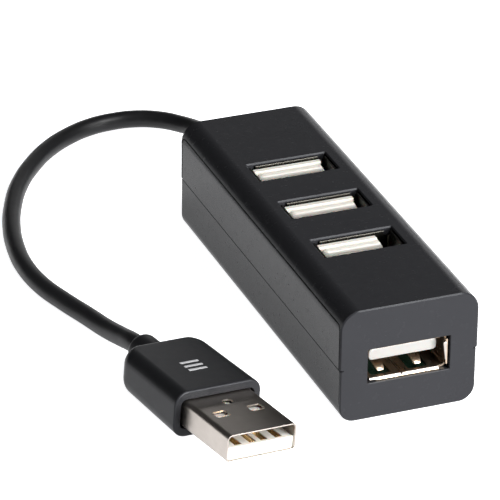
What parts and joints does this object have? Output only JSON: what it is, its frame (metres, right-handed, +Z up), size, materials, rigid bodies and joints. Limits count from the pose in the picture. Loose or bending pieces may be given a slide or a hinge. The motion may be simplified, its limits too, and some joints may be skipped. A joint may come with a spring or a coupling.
{
  "type": "usb hub",
  "caption": "Slim bar-shaped USB hub with upright type A sockets along its top, another socket in its front end, and a short captive lead ending in a type A plug.",
  "frame": {"origin": "centre of the hub housing's footprint, on the surface it stands on", "axes": "+Z up; -Y is the front end with the horizontal socket, +Y the end the lead leaves; +X is the right side seen from the front. Measured without the lead and its plug."},
  "size_m": [0.0537, 0.1182, 0.019],
  "materials": {
    "housing": "fine satin grain",
    "board": "solder-resist gloss",
    "chip": "moulded epoxy",
    "tinned": "tinned",
    "can": "satin",
    "ceramic": "fired ceramic",
    "black_plastic": "satin",
    "wire_red": "extruded",
    "wire_white": "extruded",
    "wire_green": "extruded",
    "wire_black": "extruded",
    "cable_jacket": "satin jacket",
    "plug_plastic": "satin",
    "print": "pad print",
    "plug_metal": "nickel plated",
    "socket_metal": "tin plated",
    "white_plastic": "satin moulded",
    "gold": "gold plated"
  },
  "bodies": {
    "root": {"upper_shell": "housing", "lower_shell": "housing", "circuit_board": "board", "port_rear_shell": "socket_metal", "port_rear_tongue": "white_plastic", "port_rear_contacts": "gold", "port_middle_shell": "socket_metal", "port_middle_tongue": "white_plastic", "port_middle_contacts": "gold", "port_front_shell": "socket_metal", "port_front_tongue": "white_plastic", "port_front_contacts": "gold", "port_end_shell": "socket_metal", "port_end_tongue": "white_plastic", "port_end_contacts": "gold", "controller_chip": "chip", "controller_leads": "tinned", "crystal": "can", "bulk_capacitor": "can", "ceramic_capacitors": "ceramic", "resistors": "chip", "lead_clamp": "black_plastic", "wire_power": "wire_red", "wire_data_minus": "wire_white", "wire_data_plus": "wire_green", "wire_ground": "wire_black", "lead": "cable_jacket", "plug_strain_relief": "cable_jacket", "plug_grip": "plug_plastic", "plug_mark": "print", "plug_shell": "plug_metal", "plug_insulator": "white_plastic", "plug_contacts": "gold"}
  },
  "joints": []
}
